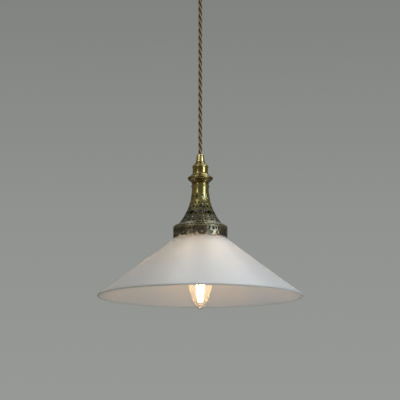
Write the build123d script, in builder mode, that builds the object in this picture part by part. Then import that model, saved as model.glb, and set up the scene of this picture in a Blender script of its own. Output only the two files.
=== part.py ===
from build123d import *
import os
from math import cos, radians, sin, sqrt, tan

# A pendant ceiling light, in millimetres, +Z up, its origin where the rose's bracket meets the ceiling.
# From the top down it is a brass ceiling rose, a three-core twisted flex held taut by the lamp's weight,
# a conical cord grip, a cap and a turned knuckle, a pierced horn-shaped gallery with a lobed skirt,
# an opal glass coolie shade, and a lampholder with a candle bulb.
# A hollow stem runs down the middle and clamps the stack.
# Screw threads are plain cylinders at their outer radius.

os.makedirs("parts", exist_ok=True)

# Fits
fit = 0.05  # radial clearance of a shank in its hole
thread_play = 0.3  # radial clearance of the bulb's cap in its screw shell
hole_room = 1.2  # the glass's hole is wider than the holder by this, all round
seat_gap = 0.35  # clearance between the gallery's lobes and the glass
sheet = 0.8  # wall of the spun brass pieces

# Ceiling rose
cup_radius = 45.0
cup_height = 26.0
cup_band = 11.0  # the upright band at the cup's mouth
cup_seat = 9.0  # radius of the flat seat round the cup's hole
bracket_width = 20.0
bracket_thick = 1.5
bracket_tab = 11.0  # depth of the bracket's turned-down ends
ceiling_hole_spacing = 60.0
ceiling_hole_radius = 2.25
bracket_end_gap = 3.0  # between the strap's flat and the cup, where its ends turn down
cup_screw_radius = 2.0
cup_screw_head = 4.0
cup_screw_head_thick = 2.4
cup_screw_depth = 6.5  # below the ceiling
cup_screw_reach = 8.0  # shank length under the head
earth_screw_radius = 1.9
earth_head_radius, earth_head_thick = 3.6, 2.0
earth_slot_width, earth_slot_depth = 0.9, 0.8
pole_pitch = 9.0
block_end, block_width, block_height = 5.5, 14.0, 10.5
block_corner = 1.5
barrel_radius, barrel_bore = 2.1, 1.35
pole_screw_radius, pole_screw_length = 1.2, 3.4
pole_screw_offset = 3.6  # each side of the block's middle
screw_well_radius = 2.0

# Flex
flex_radius = 2.5  # over its three twisted cores
flex_drop = 207.0  # from the rose's grip to the lamp's grip
core_radius = 1.0
core_ring = 1.25  # radius of the circle that the three cores' centres lie on
bend_length = 30.0  # the stretch between the two swing axes
swing_gap = 0.3  # between the ball at a swing axis and the flex above it

# Cord grip, the same at both ends of the flex
thread_radius = 5.0  # M10 x 1
grip_thread_length = 8.0
grip_collar_edge, grip_collar_height = 1.4, 2.1  # the collar stands out from the thread by its edge
grip_cone_height = 10.0
grip_cone_wall = 1.4  # at the cone's foot, over the spigot
grip_lip = 1.3  # width of the cone's end round its mouth
grip_mouth_gap = 0.65  # between the flex and the cone's mouth
collet_wall = 1.0  # with its clearances
collet_height = 5.0
grip_spigot_wall = 0.8
grip_spigot_height = 6.0
bore_gap = 1.1  # between the flex and the bores of the grip's shank and the stem

# Cap and knuckle
cap_shoulder_radius, cap_shoulder_height = 6.6, 2.9
cap_rim_radius, cap_rim_height = 10.1, 1.4
cap_radius = 9.55
cap_height = 14.0
cap_foot_radius, cap_foot_height = 11.0, 2.4
knuckle_height = 11.8
knuckle_radius = 15.8
knuckle_edge_depth = 4.3  # of its widest edge below its top
knuckle_edge_flat = 1.5  # half height of its rounded edge
knuckle_edge_inset = 0.7
knuckle_top_edge = 0.6  # its flat stands out from the cap's foot by this
knuckle_foot_edge, knuckle_foot_height = 0.1, 0.8
coupler_wall = 1.3  # at its flats
coupler_length = 11.0
coupler_drop = 2.6  # from the cap's top
nut_wall = 2.0  # at its flats
nut_thick = 3.0

# Gallery
nut_room = 1.017  # between the nut's corners and the inside of the neck
neck_length = 5.5  # from its top to where it starts to flare
neck_bead_radius = 0.75
neck_bead_depth = 2.6
horn_curve = 69.0  # radius of the flare
horn_depth = 44.5
horn_units = 10  # repeats of the pierced pattern
lip_width, lip_height = 7.03, 4.6  # the step out from the horn's foot to the skirt
lip_edge = 1.6
skirt_height = 12.6
skirt_lobes = 17
skirt_turn = -1.9  # degrees from +X to the middle of the first lobe
lobe_depth = 4.0  # of the notches between lobes
notch_width = 4.6
gallery_bead = 0.65

# Shade
shade_radius = 127.0
shade_slope = 37.0  # degrees from level
glass = 2.6
shade_land = 7.4  # width of the flat round the hole
washer_width, washer_thick = 5.0, 1.0  # from the glass's hole outwards
washer_gap = 0.3  # round the holder
ring_edge = 0.5  # the rings stand out from the washers by this
ring_height = 3.0
ring_hub_wall, ring_hub_height = 2.6, 4.0
ring_grips, grip_groove = 24, 0.6  # number and radius of the grooves round the shade ring
upper_ring_height = 2.6

# Lampholder, for a small Edison screw bulb (E14)
holder_radius = 13.8
holder_wall = 1.6
holder_above_glass = 24.0  # from the glass's flat to the holder's top
holder_below_glass = 17.2  # from the glass's flat to the holder's mouth
holder_cap_height = 20.0
holder_boss_wall, holder_boss_height = 2.2, 7.0
dome_rise, dome_shoulder = 2.0, 5.5  # the dome's top above the boss's foot, and its shoulder below its top
insert_height = 4.5  # of the ceramic core above the holder's joint
insert_lip = 1.0  # from the holder's mouth up to the core
insert_gap = 0.15  # between the screw shell and the core
shell_wall, shell_length = 0.4, 17.0
shell_lip = 1.5  # from the holder's mouth up to the shell
contact_width, contact_thick = 4.0, 0.5
contact_height = 19.5  # of the contact above the holder's mouth
contact_end_gap = 1.0  # from the contact's ends to the shell
terminal_screw_radius, terminal_screw_length = 1.5, 7.0
terminal_head_radius, terminal_head_thick = 2.4, 1.2
terminal_screw_outset = 1.0  # from the shell's outside to the screws' axes

# Candle bulb, 35 mm across and 98 mm long
bulb_radius = 17.5
bulb_length = 98.0
bulb_wall = 0.8
bulb_widest = 50.5  # from its tip
bulb_neck_step = 1.1  # the glass's neck is wider than the cap by this
bulb_neck_seat = 0.2  # how far inside the cap's collar, and above its end, the glass ends
bulb_cap_radius = 6.9
bulb_cap_length = 18.5
bulb_cap_taper = 1.8
bulb_cap_wall = 0.5
insulator_radius_step = 2.4  # the insulator is narrower than the cap by this
bulb_insulator_height = 2.6
bulb_tip_radius, bulb_tip_height = 2.4, 1.4
bulb_collar_height = 5.0
filament_radius = 0.9
filament_count = 4
filament_turn = 0.0  # the first one's direction, measured about the axis from +X
filament_end = 9.0  # their lower ends' height above the bulb's tip
filament_foot, filament_head = 6.2, 2.2  # their distance from the axis at the top and at the lower end
lead_radius = 0.35
mount_radius = 3.0
mount_length = 22.0

# Radii and widths that follow from the sizes above
block_length = 2 * (pole_pitch + block_end)
earth_screw_place = block_length / 2 + earth_head_radius + 3.9
thread_hole = thread_radius + fit
thread_bore = flex_radius + bore_gap
grip_mouth = flex_radius + grip_mouth_gap
grip_spigot_bore = flex_radius + collet_wall
grip_spigot_radius = grip_spigot_bore + grip_spigot_wall
grip_cone_foot = grip_spigot_radius + grip_cone_wall
grip_cone_top = grip_mouth + grip_lip
grip_collar_radius = thread_radius + grip_collar_edge
swing_room = flex_radius + swing_gap  # radius of the empty ball round a swing axis
coupler_flats = 2 * (thread_radius + coupler_wall)
nut_flats = 2 * (thread_radius + nut_wall)
nut_corner = nut_flats / 2 / cos(radians(30))
neck_radius = nut_corner + nut_room + sheet
knuckle_foot_radius = neck_radius + knuckle_foot_edge
horn_foot_radius = neck_radius + horn_curve - sqrt(horn_curve**2 - horn_depth**2)
skirt_radius = horn_foot_radius + lip_width
shade_hole = holder_radius + hole_room
land_radius = shade_hole + shade_land
washer_radius = shade_hole + washer_width
ring_radius = washer_radius + ring_edge
ring_hub_radius = holder_radius + ring_hub_wall
holder_boss_radius = thread_radius + holder_boss_wall
holder_bore = holder_radius - holder_wall
shell_radius = bulb_cap_radius + thread_play + shell_wall
insert_bore = shell_radius + insert_gap
terminal_screw_offset = shell_radius + terminal_screw_outset
bulb_neck_radius = bulb_cap_radius + bulb_neck_step

# Heights, from the ceiling down
cup_bottom = -cup_height
grip_height = grip_collar_height + grip_cone_height
rose_mouth = cup_bottom - grip_height
second_swing = rose_mouth - bend_length
lamp_mouth = rose_mouth - flex_drop
cap_top = lamp_mouth - grip_height
knuckle_top = cap_top - cap_height
gallery_top = knuckle_top - knuckle_height
horn_top = gallery_top - neck_length
horn_bottom = horn_top - horn_depth
skirt_top = horn_bottom - lip_height
skirt_bottom = skirt_top - skirt_height
shade_rise = tan(radians(shade_slope))
glass_at_skirt = skirt_bottom - seat_gap - sheet * shade_rise  # the glass's outside at the skirt's radius
rim_z = glass_at_skirt - (shade_radius - skirt_radius) * shade_rise
glass_top = glass_at_skirt + (skirt_radius - land_radius) * shade_rise
glass_under = glass_top - glass
ring_top = glass_under - washer_thick
holder_top = glass_top + holder_above_glass
holder_mouth = glass_top - holder_below_glass
holder_split = holder_top - holder_cap_height
contact_z = holder_mouth + contact_height
bulb_top = contact_z - contact_thick
bulb_tip = bulb_top - bulb_length
stem_top = cap_top - grip_thread_length
stem_bottom = holder_top - holder_boss_height


def keep(piece, name):
    """Labels a finished piece and writes it as parts/NAME.step."""
    piece.part.label = name
    export_step(piece.part, f"parts/{name}.step")


def outline(*points):
    """The closed face of an outline of (radius, height) points, in the XZ plane."""
    with BuildSketch(Plane.XZ) as face:
        with BuildLine():
            Polyline(*points, close=True)
        make_face()
    return face.sketch


def tube(outer, inner, low, high):
    """The section of a plain ring or tube about the axis."""
    return outline((inner, low), (outer, low), (outer, high), (inner, high))


def grip_section(foot, up):
    """The collar of a cord grip and its threads: the cone's spigot one way, the M10 shank the other."""
    return outline(
        (thread_bore, foot - up * grip_thread_length),
        (thread_radius, foot - up * grip_thread_length),
        (thread_radius, foot),
        (grip_collar_radius - 0.4, foot),
        (grip_collar_radius, foot + up * 0.4),
        (grip_collar_radius, foot + up * (grip_collar_height - 0.7)),
        (max(grip_collar_radius - 0.5, grip_cone_foot), foot + up * grip_collar_height),
        (grip_spigot_radius, foot + up * grip_collar_height),
        (grip_spigot_radius, foot + up * (grip_collar_height + grip_spigot_height)),
        (grip_spigot_bore, foot + up * (grip_collar_height + grip_spigot_height)),
        (grip_spigot_bore, foot + up * 0.5),
        (thread_bore, foot + up * 0.5),
    )


def cone_section(foot, up):
    """The conical nut of a cord grip, from its foot on the collar to its rounded mouth."""
    low = foot + up * grip_collar_height
    high = foot + up * grip_height
    inside = grip_spigot_radius + fit
    shoulder = low + up * (grip_spigot_height + 0.4)
    return outline(
        (inside, low),
        (grip_cone_foot - 0.3, low),
        (grip_cone_foot, low + up * 0.3),
        (grip_cone_top, high - up * 0.5),
        (grip_cone_top - 0.5, high),
        (grip_mouth, high),
        (grip_mouth, shoulder + up * 1.2),
        (inside, shoulder),
    )


def collet_section(foot, up):
    """The nylon collet that the cone squeezes on the flex."""
    low = foot + up * (grip_collar_height + grip_spigot_height - collet_height)
    return tube(grip_spigot_bore - fit, flex_radius + 2 * fit, *sorted((low, low + up * collet_height)))


def core_places(turn=90):
    """Where the three cores stand in a cross-section of the flex."""
    return [(core_ring * cos(radians(turn + a)), core_ring * sin(radians(turn + a))) for a in (0, 120, 240)]


# ---- Ceiling rose ----

with BuildPart() as rose_cup:  # a spun dome with an upright band, open towards the ceiling
    with BuildSketch(Plane.XZ):
        with BuildLine():
            curve_z = -cup_band
            wide, deep = cup_radius - cup_seat, cup_height - cup_band
            outer = EllipticalCenterArc((cup_seat, curve_z), wide, deep, 270, arc_size=90)
            inner = EllipticalCenterArc((cup_seat, curve_z), wide - sheet, deep - sheet, 270, arc_size=90)
            Polyline(inner @ 0, (thread_hole, cup_bottom + sheet), (thread_hole, cup_bottom), outer @ 0)
            Polyline(outer @ 1, (cup_radius, 0), (cup_radius - sheet, 0), inner @ 1)
        make_face()
    revolve(axis=Axis.Z)
    with Locations(Plane.YZ * Location((0, -cup_screw_depth))):
        Cylinder(cup_screw_radius + fit, 4 * cup_radius, mode=Mode.SUBTRACT)
keep(rose_cup, "rose_cup")

bracket_end = cup_radius - sheet - 2 * fit
tab_x = bracket_end - bracket_end_gap - bracket_thick / 2
with BuildPart() as ceiling_bracket:  # a steel strap with its ends turned down inside the cup's band
    with Locations((0, 0, -bracket_thick / 2)):
        Box(2 * (bracket_end - bracket_end_gap), bracket_width, bracket_thick)
    with Locations((tab_x, 0, 0), (-tab_x, 0, 0)):
        Box(bracket_thick, bracket_width, bracket_tab, align=(Align.CENTER, Align.CENTER, Align.MAX))
    with Locations((0, 0, -bracket_thick)):
        with GridLocations(ceiling_hole_spacing, 0, 2, 1):
            Cylinder(ceiling_hole_radius, 4 * bracket_thick, mode=Mode.SUBTRACT)
    with Locations((earth_screw_place, 0, -bracket_thick)):
        Cylinder(earth_screw_radius + fit, 4 * bracket_thick, mode=Mode.SUBTRACT)
    with Locations(Plane.YZ * Location((0, -cup_screw_depth))):
        Cylinder(cup_screw_radius + fit, 4 * cup_radius, mode=Mode.SUBTRACT)
keep(ceiling_bracket, "ceiling_bracket")

with BuildPart() as cup_screws:  # two knurled screws through the band into the bracket's ends
    with PolarLocations(0, 2):
        with Locations(Location((cup_radius, 0, -cup_screw_depth), (0, 90, 0))):
            Cylinder(cup_screw_head, cup_screw_head_thick, align=(Align.CENTER, Align.CENTER, Align.MIN))
            Cylinder(cup_screw_radius, cup_screw_reach, align=(Align.CENTER, Align.CENTER, Align.MAX))
    chamfer(cup_screws.edges().filter_by(GeomType.CIRCLE).group_by(SortBy.RADIUS)[-1], 0.4)
keep(cup_screws, "cup_screws")

with BuildPart() as earth_screw:  # the earthing screw, its head under the bracket
    with Locations((earth_screw_place, 0, -bracket_thick)):
        Cylinder(earth_head_radius, earth_head_thick, align=(Align.CENTER, Align.CENTER, Align.MAX))
        Cylinder(earth_screw_radius, bracket_thick, align=(Align.CENTER, Align.CENTER, Align.MIN))
        with Locations((0, 0, -earth_head_thick)):
            Box(5.0, earth_slot_width, 2 * earth_slot_depth, mode=Mode.SUBTRACT)
keep(earth_screw, "earth_screw")

barrel_z = -bracket_thick - block_height / 2 + 1.0
pole_places = (-pole_pitch, 0, pole_pitch)
with BuildPart() as terminal_block:  # three poles side by side, with bores along Y and screw wells from below
    with Locations((0, 0, -bracket_thick)):
        Box(block_length, block_width, block_height, align=(Align.CENTER, Align.CENTER, Align.MAX))
    fillet(terminal_block.edges().filter_by(Axis.Z), block_corner)
    for x in pole_places:
        with Locations(Location((x, 0, barrel_z), (90, 0, 0))):
            Cylinder(barrel_radius + fit, 2 * block_width, mode=Mode.SUBTRACT)
        with Locations((x, -pole_screw_offset, barrel_z), (x, pole_screw_offset, barrel_z)):
            Cylinder(
                screw_well_radius,
                block_height,
                align=(Align.CENTER, Align.CENTER, Align.MAX),
                mode=Mode.SUBTRACT,
            )
keep(terminal_block, "terminal_block")

with BuildPart() as terminal_barrels:
    for x in pole_places:
        with Locations(Location((x, 0, barrel_z), (90, 0, 0))):
            Cylinder(barrel_radius, block_width - 2.0)
            Cylinder(barrel_bore, block_width, mode=Mode.SUBTRACT)
        with Locations((x, -pole_screw_offset, barrel_z), (x, pole_screw_offset, barrel_z)):
            Cylinder(
                pole_screw_radius + fit,
                barrel_radius * 2,
                align=(Align.CENTER, Align.CENTER, Align.MAX),
                mode=Mode.SUBTRACT,
            )
keep(terminal_barrels, "terminal_barrels")

with BuildPart() as terminal_screws:
    for x in pole_places:
        for side in (-pole_screw_offset, pole_screw_offset):
            with Locations((x, side, barrel_z - core_radius - 0.1)):
                Cylinder(pole_screw_radius, pole_screw_length, align=(Align.CENTER, Align.CENTER, Align.MAX))
keep(terminal_screws, "terminal_screws")

with BuildPart() as rose_grip_base:  # collar, spigot and the M10 shank that passes up through the cup
    revolve(grip_section(cup_bottom, -1), axis=Axis.Z)
keep(rose_grip_base, "rose_grip_base")

with BuildPart() as rose_grip_cone:
    revolve(cone_section(cup_bottom, -1), axis=Axis.Z)
keep(rose_grip_cone, "rose_grip_cone")

with BuildPart() as rose_grip_collet:
    revolve(collet_section(cup_bottom, -1), axis=Axis.Z)
keep(rose_grip_collet, "rose_grip_collet")

with BuildPart() as rose_nut:  # inside the cup, on the grip's shank
    with BuildSketch(Plane.XY.offset(cup_bottom + sheet)):
        RegularPolygon(nut_flats / 2, 6, major_radius=False)
        Circle(thread_hole, mode=Mode.SUBTRACT)
    extrude(amount=nut_thick)
keep(rose_nut, "rose_nut")

# ---- Flex ----

flex_start = cup_bottom + grip_thread_length + 1.0  # inside the cup
flex_end = cap_top - 3.0  # inside the lamp's grip

with BuildPart() as flex_top:  # the stretch that the rose's grip holds still
    revolve(tube(flex_radius, 0, rose_mouth + swing_room, flex_start), axis=Axis.Z)
keep(flex_top, "flex_top")


def swinging_tube(top, low):
    """The half section of a straight run of flex whose upper end is a half ball about a swing axis."""
    with BuildSketch(Plane.XZ) as face:
        with BuildLine():
            CenterArc((0, top), flex_radius, 0, 90)
            Polyline((flex_radius, top), (flex_radius, low), (0, low), (0, top + flex_radius))
        make_face()
    return face.sketch


with BuildPart() as flex_bend:  # the first stretch below the rose, where the flex bends one way
    revolve(swinging_tube(rose_mouth, second_swing + swing_room), axis=Axis.Z)
keep(flex_bend, "flex_bend")

with BuildPart() as flex:  # one straight run, pulled tight, into the lamp's grip
    revolve(swinging_tube(second_swing, flex_end), axis=Axis.Z)
keep(flex, "flex")

# Three cores from the flex's upper end, past the front of the block, into the barrels
with BuildPart() as rose_cores:
    for (x, y), pole_x in zip(core_places(30), (pole_pitch, -pole_pitch, 0)):
        entry_y = -block_width / 2 - 4.5
        with BuildLine() as route:
            FilletPolyline(
                (x, y, flex_start),
                (x, y, flex_start + 2.2),
                (pole_x * 0.9, entry_y, flex_start + 4.6),
                (pole_x, entry_y, barrel_z),
                (pole_x, -block_width / 2 + 3.0, barrel_z),
                radius=1.9,
            )
        with BuildSketch(Plane(origin=route.line @ 0, z_dir=route.line % 0)):
            Circle(core_radius)
        sweep(path=route.line)
keep(rose_cores, "rose_cores")
print("rose core tails", [round(s.volume, 2) for s in rose_cores.part.solids()])

# ---- Cord grip, cap and knuckle of the lamp ----

with BuildPart() as grip_base:
    revolve(grip_section(cap_top, 1), axis=Axis.Z)
keep(grip_base, "grip_base")

with BuildPart() as grip_cone:
    revolve(cone_section(cap_top, 1), axis=Axis.Z)
keep(grip_cone, "grip_cone")

with BuildPart() as grip_collet:
    revolve(collet_section(cap_top, 1), axis=Axis.Z)
keep(grip_collet, "grip_collet")

with BuildPart() as top_cap:  # a spun cup, mouth down, with a rolled rim at its shoulder and a flared foot
    shoulder_z = cap_top - cap_shoulder_height
    rim_low = shoulder_z - cap_rim_height
    foot_z = knuckle_top + cap_foot_height
    inside = cap_radius - sheet
    with BuildSketch(Plane.XZ):
        with BuildLine():
            Polyline(
                (thread_hole, cap_top - sheet),
                (thread_hole, cap_top),
                (cap_shoulder_radius, cap_top),
            )
            ThreePointArc(
                (cap_shoulder_radius, cap_top),
                (cap_shoulder_radius + 2.1, cap_top - 1.1),
                (cap_rim_radius - 0.5, shoulder_z),
            )
            ThreePointArc(
                (cap_rim_radius - 0.5, shoulder_z), (cap_rim_radius, shoulder_z - 0.6), (cap_radius, rim_low)
            )
            Line((cap_radius, rim_low), (cap_radius, foot_z))
            ThreePointArc(
                (cap_radius, foot_z), (cap_radius + 0.35, foot_z - 1.4), (cap_foot_radius, knuckle_top)
            )
            Polyline((cap_foot_radius, knuckle_top), (cap_foot_radius - 1.1, knuckle_top))
            Line((cap_foot_radius - 1.1, knuckle_top), (inside, foot_z))
            Line((inside, foot_z), (inside, shoulder_z - sheet))
            ThreePointArc(
                (inside, shoulder_z - sheet),
                (cap_shoulder_radius + 1.3, cap_top - 1.8),
                (thread_hole, cap_top - sheet),
            )
        make_face()
    revolve(axis=Axis.Z)
keep(top_cap, "top_cap")

with BuildPart() as stem_coupler:  # a hexagonal sleeve inside the cap, from the grip's shank to the stem
    with BuildSketch(Plane.XY.offset(cap_top - coupler_drop - coupler_length)):
        RegularPolygon(coupler_flats / 2, 6, major_radius=False)
        Circle(thread_hole, mode=Mode.SUBTRACT)
    extrude(amount=coupler_length)
keep(stem_coupler, "stem_coupler")

with BuildPart() as knuckle:  # a turned ring with a sharp rounded edge
    edge_z = knuckle_top - knuckle_edge_depth
    edge_in = knuckle_radius - knuckle_edge_inset
    with BuildSketch(Plane.XZ):
        with BuildLine():
            Polyline(
                (edge_in, edge_z + knuckle_edge_flat),
                (cap_foot_radius + knuckle_top_edge, knuckle_top),
                (thread_hole, knuckle_top),
                (thread_hole, gallery_top),
                (knuckle_foot_radius, gallery_top),
                (knuckle_foot_radius, gallery_top + knuckle_foot_height),
                (edge_in, edge_z - knuckle_edge_flat),
            )
            ThreePointArc(
                (edge_in, edge_z - knuckle_edge_flat),
                (knuckle_radius, edge_z),
                (edge_in, edge_z + knuckle_edge_flat),
            )
        make_face()
    revolve(axis=Axis.Z)
keep(knuckle, "knuckle")

# ---- Gallery ----


def horn_radius(z):
    """The horn's outer radius: an arc that leaves the neck upright."""
    down = horn_top - z
    return neck_radius + horn_curve - sqrt(horn_curve**2 - down**2)


def inside_horn(z):
    """The point of the horn's inner face that lies one sheet in from its outer face at a height."""
    tilt = (horn_top - z) / horn_curve  # sine of the flare's angle there
    return horn_radius(z) - sheet * sqrt(1 - tilt**2), z - sheet * tilt


def radial_cut(z, wide, tall, turn=0):
    """A rounded slot through one side of a wall, at a height and a turn about the axis."""
    with BuildPart() as cut:
        with BuildSketch(Plane.YZ) as slot:
            with Locations((0, z)):
                if tall > wide:
                    SlotOverall(tall, wide, rotation=90)
                else:
                    Circle(wide / 2)
        extrude(amount=2 * skirt_radius)
    return cut.part.rotate(Axis.Z, turn)


unit = 360 / horn_units
bead_z = gallery_top - neck_bead_depth
with BuildPart() as gallery_horn:  # spun and pierced, with a closed top that the stem's nut clamps
    with BuildSketch(Plane.XZ):
        with BuildLine():
            middle = (horn_top + horn_bottom) / 2
            foot_in, foot_in_z = inside_horn(horn_bottom)
            Polyline(
                (thread_hole, gallery_top),
                (neck_radius - 0.3, gallery_top),
                (neck_radius, bead_z + neck_bead_radius),
            )
            ThreePointArc(
                (neck_radius, bead_z + neck_bead_radius),
                (neck_radius + neck_bead_radius, bead_z),
                (neck_radius, bead_z - neck_bead_radius),
            )
            Line((neck_radius, bead_z - neck_bead_radius), (neck_radius, horn_top))
            ThreePointArc(
                (neck_radius, horn_top), (horn_radius(middle), middle), (horn_foot_radius, horn_bottom)
            )
            Polyline(
                (horn_foot_radius, horn_bottom),
                (skirt_radius - 0.2, skirt_top),
                (skirt_radius - lip_edge, skirt_top),
                (foot_in, foot_in_z),
            )
            ThreePointArc((foot_in, foot_in_z), inside_horn(middle), (neck_radius - sheet, horn_top))
            Polyline(
                (neck_radius - sheet, horn_top),
                (neck_radius - sheet, gallery_top - sheet),
                (thread_hole, gallery_top - sheet),
                (thread_hole, gallery_top),
            )
        make_face()
    revolve(axis=Axis.Z)
    for n in range(horn_units):
        turn = n * unit
        add(radial_cut(horn_top - 8.0, 1.9, 9.5, turn), mode=Mode.SUBTRACT)
        for side in (-0.25 * unit, 0.25 * unit):
            add(radial_cut(horn_top - 20.5, 2.0, 2.0, turn + side), mode=Mode.SUBTRACT)
            add(radial_cut(horn_top - 40.5, 3.4, 3.4, turn + side), mode=Mode.SUBTRACT)
        add(radial_cut(horn_top - 31.5, 5.0, 5.0, turn + unit / 2), mode=Mode.SUBTRACT)
        add(radial_cut(horn_top - 29.0, 2.2, 6.0, turn), mode=Mode.SUBTRACT)
keep(gallery_horn, "gallery_horn")

with BuildPart() as gallery_bead_ring:  # the rolled wire where the horn meets its skirt
    with BuildSketch(Plane.XZ):
        with Locations((skirt_radius + gallery_bead * 0.35, skirt_top - gallery_bead)):
            Circle(gallery_bead)
        with Locations((skirt_radius - 2.0, skirt_top - gallery_bead)):
            Rectangle(4.0, 4.0, mode=Mode.SUBTRACT)
    revolve(axis=Axis.Z)
keep(gallery_bead_ring, "gallery_bead_ring")

lobe = 360 / skirt_lobes
with BuildPart() as gallery_skirt:  # a pierced strip bent into a ring, its lower edge cut into lobes
    revolve(tube(skirt_radius, skirt_radius - sheet, skirt_bottom, skirt_top), axis=Axis.Z)
    with BuildPart(mode=Mode.PRIVATE) as notch:
        with BuildSketch(Plane.YZ):
            with BuildLine():
                low = skirt_bottom - 1
                notch_half = notch_width / 2 * (lobe_depth + 1) / lobe_depth
                Polyline((-notch_half, low), (0, skirt_bottom + lobe_depth), (notch_half, low), close=True)
            make_face()
        extrude(amount=2 * skirt_radius)
    for n in range(skirt_lobes):
        turn = skirt_turn + n * lobe
        add(notch.part.rotate(Axis.Z, turn + lobe / 2), mode=Mode.SUBTRACT)
        for side in (-0.2 * lobe, 0.2 * lobe):
            add(radial_cut(skirt_top - 4.2, 1.7, 3.0, turn + side), mode=Mode.SUBTRACT)
        add(radial_cut(skirt_top - 9.0, 3.0, 3.0, turn), mode=Mode.SUBTRACT)
keep(gallery_skirt, "gallery_skirt")

with BuildPart() as stem:  # the hollow M10 stem, from the coupler to the lampholder
    revolve(tube(thread_radius, thread_bore, stem_bottom, stem_top), axis=Axis.Z)
keep(stem, "stem")

with BuildPart() as stem_nut:  # under the horn's closed top
    with BuildSketch(Plane.XY.offset(gallery_top - sheet - nut_thick)):
        RegularPolygon(nut_flats / 2, 6, major_radius=False)
        Circle(thread_hole, mode=Mode.SUBTRACT)
    extrude(amount=nut_thick)
keep(stem_nut, "stem_nut")

# ---- Glass shade and its clamp ----

with BuildPart() as shade_glass:  # a straight cone with a flat land round its hole and a rounded rim
    under_radius = land_radius - glass * tan(radians(shade_slope / 2))
    slope_cos, slope_sin = cos(radians(shade_slope)), sin(radians(shade_slope))
    rim_in = shade_radius - glass * slope_sin
    rim_in_z = rim_z - glass * slope_cos
    with BuildSketch(Plane.XZ):
        with BuildLine():
            Polyline(
                (rim_in, rim_in_z),
                (under_radius, glass_under),
                (shade_hole, glass_under),
                (shade_hole, glass_top),
                (land_radius, glass_top),
                (shade_radius, rim_z),
            )
            ThreePointArc(
                (shade_radius, rim_z),
                (
                    shade_radius + glass / 2 * (slope_cos - slope_sin),
                    rim_z - glass / 2 * (slope_cos + slope_sin),
                ),
                (rim_in, rim_in_z),
            )
        make_face()
    revolve(axis=Axis.Z)
keep(shade_glass, "shade_glass")

for label, low in (("upper_washer", glass_top), ("lower_washer", ring_top)):
    with BuildPart() as washer:  # soft washers each side of the glass
        revolve(tube(washer_radius, holder_radius + washer_gap, low, low + washer_thick), axis=Axis.Z)
    keep(washer, label)

with BuildPart() as upper_ring:  # screwed on the holder above the glass, and left there
    ring_foot = glass_top + washer_thick
    revolve(tube(ring_radius, holder_radius + fit, ring_foot, ring_foot + upper_ring_height), axis=Axis.Z)
keep(upper_ring, "upper_ring")

with BuildPart() as shade_ring:  # unscrewed by hand to take the glass off
    revolve(
        outline(
            (holder_radius + 2 * fit, ring_top),
            (ring_radius, ring_top),
            (ring_radius, ring_top - ring_height),
            (ring_hub_radius, ring_top - ring_height),
            (ring_hub_radius, ring_top - ring_height - ring_hub_height),
            (holder_radius + 2 * fit, ring_top - ring_height - ring_hub_height),
        ),
        axis=Axis.Z,
    )
    with PolarLocations(ring_radius, ring_grips):
        Cylinder(grip_groove, 8 * ring_height, mode=Mode.SUBTRACT)
keep(shade_ring, "shade_ring")

# ---- Lampholder ----

with BuildPart() as holder_cap:  # the domed half that the stem screws into
    boss_low = holder_top - holder_boss_height
    dome_z = boss_low + dome_rise
    shoulder_z = dome_z - dome_shoulder
    inner_shoulder_z = shoulder_z - 1.0
    with BuildSketch(Plane.XZ):
        with BuildLine():
            Polyline(
                (holder_boss_radius, dome_z),
                (holder_boss_radius, holder_top),
                (thread_hole, holder_top),
                (thread_hole, boss_low),
                (holder_boss_radius, boss_low),
            )
            ThreePointArc(
                (holder_boss_radius, boss_low),
                (holder_bore - 1.5, boss_low - 1.5),
                (holder_bore, inner_shoulder_z),
            )
            Polyline(
                (holder_bore, inner_shoulder_z),
                (holder_bore, holder_split),
                (holder_radius, holder_split),
                (holder_radius, shoulder_z),
            )
            ThreePointArc(
                (holder_radius, shoulder_z), (holder_radius - 1.6, dome_z - 1.8), (holder_boss_radius, dome_z)
            )
        make_face()
    revolve(axis=Axis.Z)
keep(holder_cap, "holder_cap")

with BuildPart() as holder_sleeve:  # the threaded half that carries the shade rings
    revolve(tube(holder_radius, holder_bore, holder_mouth, holder_split), axis=Axis.Z)
keep(holder_sleeve, "holder_sleeve")

insert_top = holder_split + insert_height
shell_low = holder_mouth + shell_lip
with BuildPart() as holder_insert:  # the ceramic core, with a well for the bulb's cap
    revolve(
        outline(
            (0, insert_top),
            (holder_bore - fit, insert_top),
            (holder_bore - fit, holder_mouth + insert_lip),
            (insert_bore, holder_mouth + insert_lip),
            (insert_bore, contact_z + contact_thick),
            (0, contact_z + contact_thick),
        ),
        axis=Axis.Z,
    )
    with Locations((terminal_screw_offset, 0, insert_top), (-terminal_screw_offset, 0, insert_top)):
        Hole(terminal_screw_radius + fit, terminal_screw_length + 0.5)
keep(holder_insert, "holder_insert")

with BuildPart() as holder_shell:  # the Edison screw shell
    revolve(tube(shell_radius, shell_radius - shell_wall, shell_low, shell_low + shell_length), axis=Axis.Z)
keep(holder_shell, "holder_shell")

with BuildPart() as holder_contact:  # the springy centre contact
    with Locations((0, 0, contact_z + contact_thick / 2)):
        Box(2 * (shell_radius - contact_end_gap), contact_width, contact_thick)
keep(holder_contact, "holder_contact")

with BuildPart() as holder_terminals:  # two screws in the top of the core
    with Locations((terminal_screw_offset, 0, insert_top), (-terminal_screw_offset, 0, insert_top)):
        Cylinder(terminal_screw_radius, terminal_screw_length, align=(Align.CENTER, Align.CENTER, Align.MAX))
        Cylinder(terminal_head_radius, terminal_head_thick, align=(Align.CENTER, Align.CENTER, Align.MIN))
keep(holder_terminals, "holder_terminals")

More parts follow.
